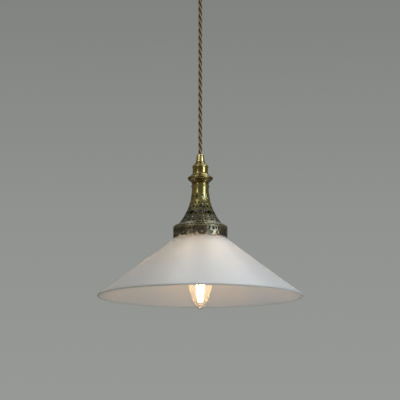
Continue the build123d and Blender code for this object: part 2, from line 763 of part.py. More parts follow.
with BuildPart() as holder_cores:  # down inside the stem, two to the terminals and the earth to the cap
    beside = terminal_head_radius + core_radius + 0.2  # from a terminal's axis to the core beside it
    ends = [(terminal_screw_offset, beside), (-terminal_screw_offset, beside), (0, -8.2)]
    for (x, y), (end_x, end_y) in zip(core_places(30), ends):
        with BuildLine() as route:
            FilletPolyline(
                (x, y, flex_end),
                (x, y, stem_bottom - 1.4),
                (end_x, end_y, stem_bottom - 3.4),
                (end_x, end_y, insert_top + 0.1),
                radius=1.3,
            )
        with BuildSketch(Plane(origin=route.line @ 0, z_dir=route.line % 0)):
            Circle(core_radius)
        sweep(path=route.line)
keep(holder_cores, "holder_cores")
print("holder core tails", [round(s.volume, 2) for s in holder_cores.part.solids()])

# ---- Candle bulb ----

insulator_radius = bulb_cap_radius - insulator_radius_step
cap_low = bulb_top - bulb_tip_height - bulb_insulator_height - bulb_cap_length
with BuildPart() as bulb_cap:  # the Edison screw cap, with a plain collar that holds the glass
    with BuildSketch(Plane.XZ):
        with BuildLine():
            top = bulb_top - bulb_tip_height - bulb_insulator_height
            Polyline(
                (bulb_cap_radius - bulb_cap_taper - 0.1, top),
                (bulb_cap_radius, top - bulb_cap_taper),
                (bulb_cap_radius, cap_low + bulb_collar_height),
                (bulb_neck_radius + bulb_cap_wall - 0.1, cap_low),
                (bulb_neck_radius - 0.1, cap_low),
                (bulb_cap_radius - bulb_cap_wall, cap_low + bulb_collar_height),
                (bulb_cap_radius - bulb_cap_wall, top - bulb_cap_taper - 0.2),
                (insulator_radius + 0.1, top - 0.6),
                (insulator_radius + 0.1, top),
                close=True,
            )
        make_face()
    revolve(axis=Axis.Z)
keep(bulb_cap, "bulb_cap")

with BuildPart() as bulb_insulator:  # the black glass between cap and contact
    top = bulb_top - bulb_tip_height
    revolve(
        outline(
            (0, top),
            (bulb_tip_radius, top),
            (insulator_radius, top - bulb_insulator_height + 0.2),
            (insulator_radius, top - bulb_insulator_height - 0.6),
            (0, top - bulb_insulator_height - 0.6),
        ),
        axis=Axis.Z,
    )
keep(bulb_insulator, "bulb_insulator")

with BuildPart() as bulb_contact:  # the soldered tip
    with Locations((0, 0, bulb_top)):
        Cylinder(bulb_tip_radius - 0.2, bulb_tip_height, align=(Align.CENTER, Align.CENTER, Align.MAX))
    chamfer(bulb_contact.faces().sort_by(Axis.Z)[-1].edges(), 0.7)
keep(bulb_contact, "bulb_contact")


neck_edge = bulb_neck_radius - bulb_neck_seat
neck_z = cap_low + bulb_neck_seat


def bulb_outline(inset):
    """The candle's half outline from its neck to its tip, moved in by the glass's thickness."""
    with BuildLine() as line:
        Spline(
            (neck_edge - inset, neck_z),
            (bulb_radius * 0.72 - inset, bulb_tip + 0.66 * bulb_length),
            (bulb_radius - inset, bulb_tip + bulb_widest),
            (bulb_radius * 0.80 - inset, bulb_tip + 0.245 * bulb_length),
            (bulb_radius * 0.40 - inset, bulb_tip + 0.062 * bulb_length),
            (0, bulb_tip + inset),
            tangents=((0.12, -1), (-1, -0.18)),
        )
    return line.line


with BuildPart() as bulb_glass:  # a clear candle envelope, blown to a point
    with BuildSketch(Plane.XZ):
        with BuildLine():
            add(bulb_outline(0.0))
            add(bulb_outline(bulb_wall))
            Line((neck_edge, neck_z), (neck_edge - bulb_wall, neck_z))
            Line((0, bulb_tip), (0, bulb_tip + bulb_wall))
        make_face()
    revolve(axis=Axis.Z)
keep(bulb_glass, "bulb_glass")

mount_end = cap_low - 1.0 - mount_length
with BuildPart() as bulb_mount:  # the glass stalk that carries the filaments
    revolve(
        outline(
            (0, cap_low + 3.0),
            (bulb_cap_radius - 0.9, cap_low + 3.0),
            (mount_radius, cap_low - 3.0),
            (mount_radius * 0.6, mount_end),
            (0, mount_end),
        ),
        axis=Axis.Z,
    )
keep(bulb_mount, "bulb_mount")

stick_top = mount_end - 2 * lead_radius - 0.1
stick_end = bulb_tip + filament_end
stick_axis = Vector(filament_head - filament_foot, 0, stick_end - stick_top)
with BuildPart() as filaments:  # slim light-emitting sticks that lean in towards the tip
    with PolarLocations(0, filament_count, filament_turn):
        with Locations(Plane(origin=(filament_foot, 0, stick_top), z_dir=stick_axis).location):
            Cylinder(filament_radius, stick_axis.length, align=(Align.CENTER, Align.CENTER, Align.MIN))
keep(filaments, "filaments")

with BuildPart() as filament_leads:  # a cross of wires at each end of the sticks
    cross_places = ((mount_end - lead_radius, filament_foot), (stick_end - lead_radius - 0.3, filament_head))
    for z, reach in cross_places:
        with PolarLocations(0, filament_count, filament_turn):
            with Locations(Location((0, 0, z), (0, 90, 0))):
                Cylinder(lead_radius, reach, align=(Align.CENTER, Align.CENTER, Align.MIN))
keep(filament_leads, "filament_leads")

print("rose mouth", rose_mouth, "lamp mouth", lamp_mouth, "rim", round(rim_z, 2))
print("gallery foot", round(skirt_radius, 3), "neck", round(neck_radius, 3), "bulb tip", round(bulb_tip, 2))
print("flex: one straight run of", flex_drop, "mm between the grips, with no arcs")
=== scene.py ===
"""A pendant ceiling light in aged brass and opal glass, in metres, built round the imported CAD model.

The turned and pierced brass, the glass shade, the candle bulb and the twisted flex are surfaces worked out
with numpy. The plain inner hardware keeps its CAD shape and gets a finish.
"""

from math import cos, pi, radians, sin, sqrt, tan

import bmesh
import bpy
import numpy as np
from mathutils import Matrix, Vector

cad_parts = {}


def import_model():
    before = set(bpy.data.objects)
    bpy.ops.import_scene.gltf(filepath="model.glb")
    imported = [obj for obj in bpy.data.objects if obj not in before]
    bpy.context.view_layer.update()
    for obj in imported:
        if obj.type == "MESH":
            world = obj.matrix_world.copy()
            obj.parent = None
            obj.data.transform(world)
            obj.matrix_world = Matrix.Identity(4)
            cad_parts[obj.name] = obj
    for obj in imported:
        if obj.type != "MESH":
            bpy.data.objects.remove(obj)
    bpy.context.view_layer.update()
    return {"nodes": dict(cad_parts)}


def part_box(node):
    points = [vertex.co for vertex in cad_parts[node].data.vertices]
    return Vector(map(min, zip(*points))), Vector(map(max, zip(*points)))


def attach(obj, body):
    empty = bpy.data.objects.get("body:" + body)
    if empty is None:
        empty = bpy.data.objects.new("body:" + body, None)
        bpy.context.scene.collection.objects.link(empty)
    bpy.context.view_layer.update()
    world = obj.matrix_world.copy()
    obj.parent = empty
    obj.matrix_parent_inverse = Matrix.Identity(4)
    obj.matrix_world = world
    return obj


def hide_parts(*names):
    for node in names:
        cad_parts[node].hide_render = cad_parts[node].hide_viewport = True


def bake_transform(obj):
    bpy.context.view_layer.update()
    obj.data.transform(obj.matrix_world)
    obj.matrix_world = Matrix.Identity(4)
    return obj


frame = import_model()

mm = 0.001


def low(node):
    """Height of a CAD node's lowest point."""
    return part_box(node)[0][2]


def high(node):
    """Height of a CAD node's highest point."""
    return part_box(node)[1][2]


def radius(node):
    """Half a CAD node's width across X."""
    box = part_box(node)
    return (box[1][0] - box[0][0]) / 2


# Heights and radii taken from the frame
cup_bottom = low("rose_cup")
cup_radius = radius("rose_cup")
rose_mouth = low("rose_grip_cone")
lamp_mouth = high("grip_cone")
flex_end = low("flex")
cap_top = high("top_cap")
knuckle_top = high("knuckle")
knuckle_radius = radius("knuckle")
gallery_top = high("gallery_horn")
skirt_top = high("gallery_skirt")
skirt_bottom = low("gallery_skirt")
skirt_radius = radius("gallery_skirt")
glass_top = high("shade_glass")
ring_top = high("shade_ring")
ring_bottom = low("shade_ring")
ring_radius = radius("shade_ring")
sleeve_radius = radius("holder_sleeve")
bulb_tip = low("bulb_glass")
cap_low = low("bulb_cap")
cap_high = high("bulb_cap")

# Sizes that the frame doesn't give, the same as the CAD model's
sheet = 0.8 * mm
wall_thickness = 0.6 * mm
cup_band = 11.0 * mm
cup_seat = 9.0 * mm
cup_screw_depth = 6.5 * mm
grip_hole = 5.05 * mm
grip_foot = 5.7 * mm
grip_tip = 4.45 * mm
grip_throat = 3.15 * mm
grip_collar = 6.4 * mm
grip_collar_height = 2.1 * mm
cap_radius = 9.55 * mm
cap_rim_radius = 10.1 * mm
neck_radius = 9.9 * mm
neck_length = 5.5 * mm
horn_curve = 69.0 * mm
horn_depth = 44.5 * mm
horn_units = 10
skirt_lobes = 17
skirt_turn = radians(-1.9)
lobe_depth = 4.0 * mm
lobe_flat = 3.3 * mm
shade_rim_radius = 127.0 * mm
shade_slope = radians(37.0)
glass = 2.6 * mm
shade_hole = 15.0 * mm
shade_land = 22.4 * mm
flex_pitch = 27.6 * mm
strand = 1.2 * mm
stick_count = 4
stick_foot = 6.2 * mm
stick_head = 2.2 * mm
stick_radius = 0.9 * mm
cap_pitch = 2.822 * mm

# The room
lamp_middle = -0.33
floor_reach = 9.0
floor_height = -1.9


# ---- Meshes ----


def softened(points, eases, steps=5, closed=True):
    """An outline with each corner eased by a parabola between a point on the side before and one on the next.

    The parabola is (1 - t)^2 a + 2 t (1 - t) p + t^2 b, where p is the corner, and a and b lie on its two
    sides at the corner's ease from it, but never past 0.45 of the side.
    """
    p = np.array(points, float)
    ease = np.broadcast_to(np.array(eases, float), len(p))[:, None]
    t = np.linspace(0, 1, steps)[None, :, None]

    def along(other):
        """The point on the side towards the neighbour, at the corner's ease."""
        way = other - p
        length = np.maximum(np.linalg.norm(way, axis=1, keepdims=True), 1e-9)
        return p + way * np.minimum(ease / length, 0.45)

    a, b = along(np.roll(p, 1, 0)), along(np.roll(p, -1, 0))
    curve = (1 - t) ** 2 * a[:, None] + 2 * t * (1 - t) * p[:, None] + t**2 * b[:, None]
    if not closed:
        ends = np.repeat(p[[0, -1], None], steps, 1)
        curve = np.concatenate([ends[:1], curve[1:-1], ends[1:]])
    line = curve.reshape(-1, 2)
    apart = np.linalg.norm(line - np.roll(line, 1, 0), axis=1) > 1e-7
    return line[apart]


def spread(line, rows):
    """The same line with its points spread evenly along it, and their distances down it."""
    steps = np.linalg.norm(np.diff(line, axis=0), axis=1)
    way = np.concatenate([[0], np.cumsum(steps)])
    even = np.linspace(0, way[-1], rows)
    return np.stack([np.interp(even, way, line[:, k]) for k in range(line.shape[1])], 1), even


def grid_faces(rows, columns, wrap_rows):
    """Faces between neighbours of a grid closed round its columns, and each corner's place on it."""
    i = np.arange(rows if wrap_rows else rows - 1)[:, None]
    j = np.arange(columns)[None, :]
    i2, j2 = (i + 1) % rows, (j + 1) % columns
    corners = [i * columns + j, i * columns + j2, i2 * columns + j2, i2 * columns + j]
    faces = np.stack(corners, -1).reshape(-1, 4)
    one = np.ones_like(i * j)
    u = np.stack([j * one, (j + 1) * one, (j + 1) * one, j * one], -1).reshape(-1) / columns
    v = np.stack([i * one, i * one, (i + 1) * one, (i + 1) * one], -1).reshape(-1) / rows
    return faces, np.stack([u, v], -1)


def add_piece(name, points, faces, body, finish, nodes=(), places=None, marks=None, join=0.0, outward=True):
    """Makes a mesh piece, gives it a finish, lets it ride on a body and stand for its CAD nodes.

    places is each face corner's (u, v), marks are named values, one for each point, and join merges points
    nearer than itself.
    """
    mesh = bpy.data.meshes.new(name)
    mesh.from_pydata(np.asarray(points).reshape(-1, 3), [], faces)
    if places is not None:
        layer = mesh.uv_layers.new(name="UVMap")
        layer.data.foreach_set("uv", np.asarray(places, np.float32).reshape(-1))
    for key, values in (marks or {}).items():
        mesh.attributes.new(key, "FLOAT", "POINT").data.foreach_set("value", np.asarray(values, np.float32))
    if join or outward:
        work = bmesh.new()
        work.from_mesh(mesh)
        if join:
            bmesh.ops.remove_doubles(work, verts=work.verts, dist=join)
        if outward:
            bmesh.ops.recalc_face_normals(work, faces=work.faces)
        work.to_mesh(mesh)
        work.free()
    mesh.polygons.foreach_set("use_smooth", np.ones(len(mesh.polygons), bool))
    mesh.materials.append(finish)
    piece = bpy.data.objects.new(name, mesh)
    bpy.context.collection.objects.link(piece)
    if nodes:
        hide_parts(*nodes)
    if body:
        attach(piece, body)
    return piece


def turned(name, outline, body, finish, nodes=(), turns=144, ripple=None, closed=True, axis="z", middle=0.0):
    """A turned solid: the point (r, z) of the outline at angle a stands at (r cos a, r sin a, z).

    ripple(a, r, z) is added to r, for knurls and threads. axis "x" lays the axis along X, at height middle.
    """
    line = np.asarray(outline)
    a = np.linspace(0, 2 * pi, turns, endpoint=False)[None, :]
    r, z = line[:, :1] + 0 * a, line[:, 1:] + 0 * a
    if ripple is not None:
        r = r + ripple(a, r, z)
    if axis == "z":
        points = np.stack([r * np.cos(a), r * np.sin(a), z], -1)
    else:
        points = np.stack([z, r * np.cos(a), middle + r * np.sin(a)], -1)
    faces, places = grid_faces(len(line), turns, closed)
    join = 1e-6 if line[:, 0].min() < 1e-5 else 0.0
    return add_piece(name, points, faces, body, finish, nodes, places, join=join)


def clipped(points, field):
    """The part of a grid closed round its columns where the field is positive.

    A square is kept whole, dropped, or cut along the line where the field, taken as straight along each side,
    is nought. Returns points, faces and each kept point's place among the corners and crossings.
    """
    rows, columns = field.shape
    count = rows * columns
    number = np.arange(count).reshape(rows, columns)

    def crossings(other_points, other_field):
        """The point f / (f - g) of the way to a neighbour, where the two fields are f and g."""
        share = np.clip(field / np.where(field == other_field, 1, field - other_field), 0, 1)
        return points + share[..., None] * (other_points - points)

    side = crossings(np.roll(points, -1, 1), np.roll(field, -1, 1))
    down = crossings(np.roll(points, -1, 0), np.roll(field, -1, 0))
    a, b = number[:-1], np.roll(number, -1, 1)[:-1]
    d, c = number[1:], np.roll(number, -1, 1)[1:]
    ring = np.stack([a, count + a, b, 2 * count + b, c, count + d, d, 2 * count + a], -1).reshape(-1, 8)
    solid = (field > 0).reshape(-1)
    corner = solid[ring[:, ::2]]
    code = corner @ np.array([1, 2, 4, 8])
    faces = []
    for shape in range(1, 16):
        inside = [bool(shape >> k & 1) for k in range(4)]
        kept = []
        for k in range(4):
            if inside[k]:
                kept.append(2 * k)
            if inside[k] != inside[(k + 1) % 4]:
                kept.append(2 * k + 1)
        faces += ring[code == shape][:, kept].tolist()
    used = np.unique(np.concatenate([np.array(f) for f in faces]))
    renumber = np.zeros(3 * count, int)
    renumber[used] = np.arange(len(used))
    everything = np.concatenate([points.reshape(-1, 3), side.reshape(-1, 3), down.reshape(-1, 3)])
    return everything[used], [renumber[f].tolist() for f in faces], used


def pierced(name, line, field, relief, columns, body, finish, nodes, thickness):
    """A spun sheet with holes: rows follow the line of (r, z) points and columns go round the axis.

    The point (r, z) at angle a stands at (r cos a, r sin a, z), lifted along its normal by the relief. Metal
    is where the field is positive. A wall is added on the inside, and the mark "edge" is exp(-d / 0.9 mm) at
    the distance d from a cut edge.
    """
    r, z = line[:, :1], line[:, 1:]
    a = np.linspace(0, 2 * pi, columns, endpoint=False)[None, :]
    slope = np.gradient(line, axis=0)
    slope = slope / np.linalg.norm(slope, axis=1, keepdims=True)
    lift = relief(a, r, z)
    out, up = -slope[:, 1:] * lift, slope[:, :1] * lift
    points = np.stack([(r + out) * np.cos(a), (r + out) * np.sin(a), z + up + 0 * a], -1)
    values = field(a, r, z) + 0 * a
    flat, faces, used = clipped(points, values)
    count = values.size
    near = np.exp(-np.abs(values.reshape(-1)) / (0.9 * mm))
    marks = np.where(used < count, near[used % count], 1.0)
    piece = add_piece(name, flat, faces, None, finish, nodes, marks={"edge": marks}, join=2e-6, outward=False)
    wall = piece.modifiers.new("wall", "SOLIDIFY")
    wall.thickness = thickness
    wall.offset = -1.0
    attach(piece, body)
    return piece


# ---- Finishes ----


class Value:
    """A shader socket that can be used in sums: each operator adds the Math node that works it out."""

    def __init__(self, tree, socket):
        self.tree = tree
        self.socket = socket

    def math(self, operation, *values):
        return self.tree.node("ShaderNodeMath", {"operation": operation}, dict(enumerate(values)))

    def __add__(self, other):
        return self.math("ADD", self, other)

    def __sub__(self, other):
        return self.math("SUBTRACT", self, other)

    def __rsub__(self, other):
        return self.math("SUBTRACT", other, self)

    def __mul__(self, other):
        return self.math("MULTIPLY", self, other)

    def __truediv__(self, other):
        return self.math("DIVIDE", self, other)

    def __pow__(self, other):
        return self.math("POWER", self, other)

    def sine(self):
        return self.math("SINE", self)

    def least(self, other):
        return self.math("MINIMUM", self, other)

    def most(self, other):
        return self.math("MAXIMUM", self, other)

    __radd__ = __add__
    __rmul__ = __mul__


class Tree:
    """A node tree, emptied and filled through one method."""

    def __init__(self, tree, place):
        self.nodes = tree.nodes
        self.links = tree.links
        self.nodes.clear()
        self.place = self.node("ShaderNodeTexCoord", {}, {}, place)

    def node(self, kind, settings, sockets, output=0):
        """Adds a node: its settings first, a ramp's stops among them, then its sockets' values or links."""
        made = self.nodes.new(kind)
        for key, value in settings.items():
            if key == "stops":
                ramp = made.color_ramp
                for _ in range(len(value) - 2):
                    ramp.elements.new(0.5)
                for element, (position, level) in zip(ramp.elements, value):
                    element.position = position
                    element.color = colour(level)
            else:
                setattr(made, key, value)
        for key, value in sockets.items():
            if isinstance(value, Value):
                self.links.new(value.socket, made.inputs[key])
            else:
                made.inputs[key].default_value = value
        return Value(self, made.outputs[output]) if made.outputs else None

    def ramp(self, value, *stops):
        """A value passed through a ramp of (position, level or colour) stops."""
        return self.node("ShaderNodeValToRGB", {"stops": stops}, {"Fac": value})

    def height(self, place):
        """The upright part of a place."""
        return self.node("ShaderNodeSeparateXYZ", {}, {"Vector": place}, "Z")


class Finish(Tree):
    """A material and its nodes."""

    def __init__(self, name):
        self.material = bpy.data.materials.new(name)
        self.material.use_nodes = True
        super().__init__(self.material.node_tree, "Object")

    def mix(self, share, first, second):
        """A colour between two colours."""
        sockets = {0: share, 6: colour(first), 7: colour(second)}
        return self.node("ShaderNodeMix", {"data_type": "RGBA"}, sockets, 2)

    def noise(self, scale, detail=3.0, stretch=(1, 1, 1)):
        """Cloudy values from 0 to 1, with the pattern squeezed along each axis by stretch."""
        place = self.node("ShaderNodeVectorMath", {"operation": "MULTIPLY"}, {0: self.place, 1: stretch})
        sockets = {"Vector": place, "Scale": scale, "Detail": detail}
        return self.node("ShaderNodeTexNoise", {}, sockets)

    def mark(self, name):
        """A value stored at the mesh's points."""
        return self.node("ShaderNodeAttribute", {"attribute_name": name}, {}, "Fac")

    def bump(self, height, depth, strength):
        """A normal from a height of 0 to 1, depth metres deep."""
        sockets = {"Height": height, "Distance": depth, "Strength": strength}
        return self.node("ShaderNodeBump", {}, sockets, "Normal")

    def close(self, **sockets):
        """The surface shader. Names with a space are given with an underscore."""
        named = {}
        for key, value in sockets.items():
            named[key.replace("_", " ")] = colour(value) if "Color" in key else value
        shader = self.node("ShaderNodeBsdfPrincipled", {}, named, "BSDF")
        self.node("ShaderNodeOutputMaterial", {}, {"Surface": shader})
        return self.material


def colour(value):
    """A colour socket's four numbers, from a grey level or three numbers, or a link as it is."""
    if isinstance(value, Value):
        return value
    if isinstance(value, float):
        return (value, value, value, 1.0)
    return (*value, 1.0)


def brass(name, bright, dull, tarnish, gloss, grain=0.000006, edge_shaded=False, shade_heights=None):
    """Aged brass: bright where it is handled, brown and duller in cloudy patches, with marks of turning.

    edge_shaded brass has painted shade round its cut edges, and shade_heights are the two heights over which
    a painted shade darkens it fully.
    """
    finish = Finish(name)
    clouds = finish.noise(95.0, 3.0)
    specks = finish.noise(620.0, 2.0)
    patches = finish.ramp(clouds * 0.85 + specks * 0.15, (0.38, 0.0), (0.66, 1.0))
    dark = patches * tarnish
    # Painted shade: the brass turns darker towards the horn's foot, where it reflects the dark room.
    if shade_heights:
        share = (shade_heights[0] - finish.height(finish.place)) / (shade_heights[0] - shade_heights[1])
        dark = dark + share.most(0.0).least(1.0) * 0.75
    # Painted shade round the cut edges of the piercing.
    if edge_shaded:
        dark = dark + finish.mark("edge") * 0.4
    dark = dark.least(1.0)
    rings = finish.noise(700.0, 2.0, (0.05, 0.05, 1.0))
    return finish.close(
        Base_Color=finish.mix(dark, bright, dull),
        Metallic=1.0,
        Roughness=gloss + dark * 0.16 + rings * 0.05,
        Normal=finish.bump(rings * 0.6 + specks * 0.4, grain, 0.5),
    )


def plain_metal(name, tint, rough):
    """Plated steel: even grey with faint streaks."""
    finish = Finish(name)
    streaks = finish.noise(300.0, 3.0, (1, 1, 0.15))
    return finish.close(
        Base_Color=finish.mix(streaks, tint, [0.78 * c for c in tint]),
        Metallic=1.0,
        Roughness=rough + streaks * 0.12,
        Normal=finish.bump(streaks, 0.00003, 0.4),
    )


def moulded(name, tint, rough, grain=0.00004):
    """Moulded or glazed material: even colour, faint clouds and a fine grain."""
    finish = Finish(name)
    clouds = finish.noise(120.0, 3.0)
    fine = finish.noise(1800.0, 1.0)
    return finish.close(
        Base_Color=finish.mix(clouds, tint, [0.86 * c for c in tint]),
        Roughness=rough + fine * 0.1,
        Normal=finish.bump(fine, grain, 0.4),
    )


def opal_glass():
    """White opal glass: a clear gloss over milky white, very slightly wavy."""
    finish = Finish("opal_glass")
    waves = finish.noise(14.0, 1.0)
    milk = finish.noise(40.0, 3.0)
    return finish.close(
        Base_Color=finish.mix(milk, (0.80, 0.845, 0.90), (0.76, 0.805, 0.865)),
        Roughness=0.38 + milk * 0.08,
        Subsurface_Weight=0.8,
        Subsurface_Radius=(0.90, 0.95, 1.0),
        Subsurface_Scale=0.012,
        Coat_Weight=0.12,
        Coat_Roughness=0.12,
        Normal=finish.bump(waves, 0.0006, 0.25),
    )


def clear_glass():
    """Thin clear glass: nearly nothing face on, and a bright line where it is seen edge on.

    A painted glow of the sticks' light fills it, strongest where the glass faces the view, and fades over the
    last 24 mm to the tip.
    """
    finish = Finish("clear_glass")
    facing = finish.node("ShaderNodeLayerWeight", {}, {"Blend": 0.35}, "Facing")
    seeds = finish.noise(220.0, 1.0)
    share = ((finish.height(finish.place) - bulb_tip) / (24 * mm)).most(0.0).least(1.0)
    # Painted glow: the glass itself gives off the sticks' light, most where it faces the view.
    painted_glow = (1.0 - facing) ** 2.0 * share
    return finish.close(
        Base_Color=(0.30, 0.30, 0.28),
        Roughness=0.03 + seeds * 0.02,
        Alpha=0.06 + facing**3.0 * 0.55,
        Emission_Color=finish.mix(painted_glow, (0.0, 0.0, 0.0), (1.0, 0.80, 0.50)),
        Emission_Strength=2.2,
        Specular_IOR_Level=0.8,
        Normal=finish.bump(seeds, 0.00005, 0.2),
    )


def lit_stick():
    """A glowing light-emitting stick, a little dimmer between its chips."""
    finish = Finish("lit_stick")
    chips = finish.ramp(finish.noise(900.0, 0.0, (0.2, 0.2, 1.0)), (0.3, 0.75), (0.7, 1.0))
    return finish.close(
        Base_Color=(1.0, 0.86, 0.55),
        Roughness=0.5,
        Emission_Color=finish.mix(chips, (0.95, 0.51, 0.16), (1.0, 0.57, 0.20)),
        Emission_Strength=55.0,
    )


def woven_cloth():
    """The flex's woven sleeve: two sets of threads that cross, old gold, darkened to brown by painted shade
    in the grooves.

    u is 0 on the side away from the flex's middle and 0.5 on the side towards it.
    """
    finish = Finish("woven_cloth")
    place = finish.node("ShaderNodeUVMap", {"uv_map": "UVMap"}, {})
    u = finish.node("ShaderNodeSeparateXYZ", {}, {"Vector": place}, "X")
    v = finish.node("ShaderNodeSeparateXYZ", {}, {"Vector": place}, "Y")
    around, along = u * (2 * pi * 6), v * (2 * pi * 150)
    threads = (around + along).sine().most((around - along).sine()) * 0.5 + 0.5
    fleck = finish.noise(500.0, 2.0)
    # Painted shade: the strands darken on their sides towards the flex's middle, in the grooves between them.
    outside = (u * (2 * pi) + pi / 2).sine() * 0.5 + 0.5
    groove_shaded_tone = finish.ramp(outside, (0.42, 0.0), (0.95, 1.0)) * (0.65 + threads * 0.2 + fleck * 0.3)
    return finish.close(
        Base_Color=finish.mix(groove_shaded_tone.least(1.0), (0.11, 0.07, 0.032), (0.60, 0.45, 0.265)),
        Roughness=0.62 + threads * 0.2,
        Sheen_Weight=0.25,
        Sheen_Roughness=0.4,
        Normal=finish.bump(threads, 0.00008, 0.6),
    )


# Heights over which painted shade darkens the lower horn
horn_shade_heights = (gallery_top - 20 * mm, gallery_top - 44 * mm)
upper_brass = brass("upper_brass", (0.60, 0.51, 0.20), (0.20, 0.15, 0.045), 0.75, 0.14)
knuckle_brass = brass("knuckle_brass", (0.40, 0.32, 0.13), (0.15, 0.11, 0.04), 0.95, 0.19)
grip_brass = brass("grip_brass", (0.86, 0.75, 0.38), (0.56, 0.46, 0.20), 0.4, 0.17, 0.000003)
horn_brass = brass(
    "horn_brass", (0.60, 0.52, 0.20), (0.14, 0.13, 0.085), 0.45, 0.17, 0.00001, edge_shaded=True, shade_heights=horn_shade_heights
)
skirt_brass = brass("skirt_brass", (0.42, 0.39, 0.26), (0.12, 0.115, 0.095), 0.8, 0.22, 0.00002, edge_shaded=True)
bead_brass = brass("bead_brass", (0.56, 0.50, 0.30), (0.14, 0.12, 0.07), 0.6, 0.18)
hidden_brass = brass("hidden_brass", (0.72, 0.60, 0.28), (0.30, 0.23, 0.10), 0.5, 0.25)
steel = plain_metal("zinc_steel", (0.50, 0.51, 0.53), 0.32)
nickel = plain_metal("nickel_plate", (0.70, 0.68, 0.63), 0.22)
ceramic = moulded("glazed_ceramic", (0.80, 0.78, 0.73), 0.18)
nylon = moulded("white_nylon", (0.78, 0.78, 0.75), 0.45)
silicone = moulded("soft_silicone", (0.70, 0.70, 0.68), 0.55)
core_sleeve = moulded("core_sleeve", (0.20, 0.10, 0.05), 0.4)
shade_finish = opal_glass()
bulb_finish = clear_glass()
stick_finish = lit_stick()
cloth_finish = woven_cloth()


# ---- Ceiling rose ----


def quarter(centre, wide, tall, start, end, steps=24):
    """Part of an ellipse: centre plus (wide cos t, tall sin t), t in degrees."""
    t = np.radians(np.linspace(start, end, steps))
    return np.stack([centre[0] + wide * np.cos(t), centre[1] + tall * np.sin(t)], -1)


def rose_cup():
    """The spun cup: an upright band with a rolled mouth, a quarter ellipse and a flat seat, a sheet thick."""
    deep = -cup_bottom - cup_band
    wide = cup_radius - cup_seat
    roll = softened(
        [(cup_radius - sheet, -cup_band), (cup_radius - sheet, 0), (cup_radius, 0), (cup_radius, -cup_band)],
        0.35 * mm,
        closed=False,
    )
    outside = quarter((cup_seat, -cup_band), wide, deep, 360, 270)
    inside = quarter((cup_seat, -cup_band), wide - sheet, deep - sheet, 270, 360)
    seat = [(grip_hole, cup_bottom), (grip_hole, cup_bottom + sheet)]
    outline = np.concatenate([roll, outside, seat, inside])
    turned("rose_dome", outline, "rose", upper_brass, ["rose_cup"], turns=160)


def cup_screws():
    """Two knurled screws: a head whose edge waves 24 times, and a plain shank, with their axis along X."""
    for side, word in ((1, "right"), (-1, "left")):
        outline = softened(
            [(0, 2.4), (2.9, 2.4), (4.0, 1.8), (4.0, 0.3), (2.0, 0.0), (2.0, -8.0), (0, -8.0)],
            (0, 0.3, 0.5, 0.2, 0.2, 0.3, 0),
            closed=False,
        )
        line = outline * mm
        line[:, 1] = side * (cup_radius + line[:, 1])
        turned(
            f"cup_screw_{word}",
            line,
            "rose",
            upper_brass,
            ["cup_screws"],
            turns=96,
            ripple=lambda a, r, z: 0.12 * mm * np.cos(24 * a) * (r > 3.5 * mm),
            closed=False,
            axis="x",
            middle=-cup_screw_depth,
        )


def grip(end, foot, up, body, nodes):
    """A cord grip: a rounded collar on the cap or the cup, and a cone that narrows to its mouth."""
    collar = softened(
        [
            (3.6 * mm, foot - up * 8 * mm),
            (5.0 * mm, foot - up * 8 * mm),
            (5.0 * mm, foot),
            (grip_collar, foot),
            (grip_collar, foot + up * (grip_collar_height - 0.2 * mm)),
            (4.3 * mm, foot + up * (grip_collar_height - 0.2 * mm)),
            (4.3 * mm, foot + up * 8 * mm),
            (3.5 * mm, foot + up * 8 * mm),
        ],
        (0.1 * mm, 0.1 * mm, 0.05 * mm, 0.8 * mm, 0.9 * mm, 0.2 * mm, 0.1 * mm, 0.1 * mm),
    )
    turned(f"{end}_grip_collar", collar, body, upper_brass, [nodes[0]])
    step = foot + up * grip_collar_height
    tip = foot + up * 12.1 * mm
    cone = softened(
        [
            (4.35 * mm, step),
            (grip_foot - 0.5 * mm, step),
            (grip_foot, step + up * 0.9 * mm),
            (grip_tip, tip - up * 0.6 * mm),
            (grip_tip - 0.7 * mm, tip),
            (grip_throat, tip),
            (grip_throat, tip - up * 2.6 * mm),
            (4.35 * mm, tip - up * 3.8 * mm),
        ],
        (0.1 * mm, 0.3 * mm, 0.4 * mm, 0.5 * mm, 0.5 * mm, 0.2 * mm, 0.2 * mm, 0.2 * mm),
    )
    turned(f"{end}_grip_cone", cone, body, grip_brass, [nodes[1]])


# ---- Cap and knuckle ----


def top_cap():
    """The spun cup under the grip: a rounded shoulder, a rolled rim, a straight wall and a flared foot."""
    outline = softened(
        [
            (grip_hole, cap_top),
            (6.6 * mm, cap_top),
            (9.0 * mm, cap_top - 1.3 * mm),
            (9.5 * mm, cap_top - 2.9 * mm),
            (cap_rim_radius + 0.15 * mm, cap_top - 3.1 * mm),
            (cap_rim_radius + 0.15 * mm, cap_top - 4.3 * mm),
            (cap_radius, cap_top - 4.6 * mm),
            (cap_radius, knuckle_top + 2.4 * mm),
            (cap_radius + 0.5 * mm, knuckle_top + 1.2 * mm),
            (11.0 * mm, knuckle_top),
            (9.9 * mm, knuckle_top),
            (8.75 * mm, knuckle_top + 2.4 * mm),
            (8.75 * mm, cap_top - 3.5 * mm),
            (7.0 * mm, cap_top - sheet),
            (grip_hole, cap_top - sheet),
        ],
        [0.2 * mm, 1.2 * mm, 1.2 * mm, 0.2 * mm, 0.5 * mm, 0.5 * mm, 0.2 * mm, 0.8 * mm]
        + [0.8 * mm, 0.3 * mm, 0.3 * mm, 1.0 * mm, 1.0 * mm, 1.0 * mm, 0.1 * mm],
    )
    turned("top_cap_shell", outline, "lamp", upper_brass, ["top_cap"])


